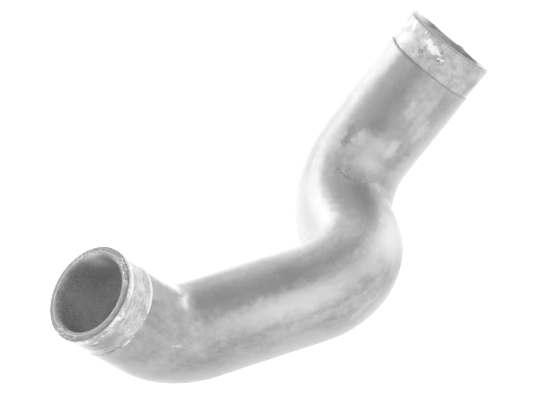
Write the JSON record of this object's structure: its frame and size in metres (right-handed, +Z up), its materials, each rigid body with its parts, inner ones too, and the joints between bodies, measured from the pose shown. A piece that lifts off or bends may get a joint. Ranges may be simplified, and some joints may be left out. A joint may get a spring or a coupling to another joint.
{
  "type": "charge air hose",
  "caption": "Bent moulded rubber duct that carries charge air between two pipes, with a grooved clamp seat at its lower mouth and a slimmer, slightly flared neck at its upper mouth.",
  "frame": {"origin": "centre of the bounding box's base, on the surface that the hose lies on", "axes": "+Z up as the hose lies at rest; +X from the lower mouth towards the upper mouth"},
  "size_m": [0.3852, 0.1412, 0.1417],
  "materials": {
    "rubber": "satin moulded rubber, lighter and dusty at both clamp seats"
  },
  "bodies": {
    "root": {"hose": "rubber"}
  },
  "joints": []
}
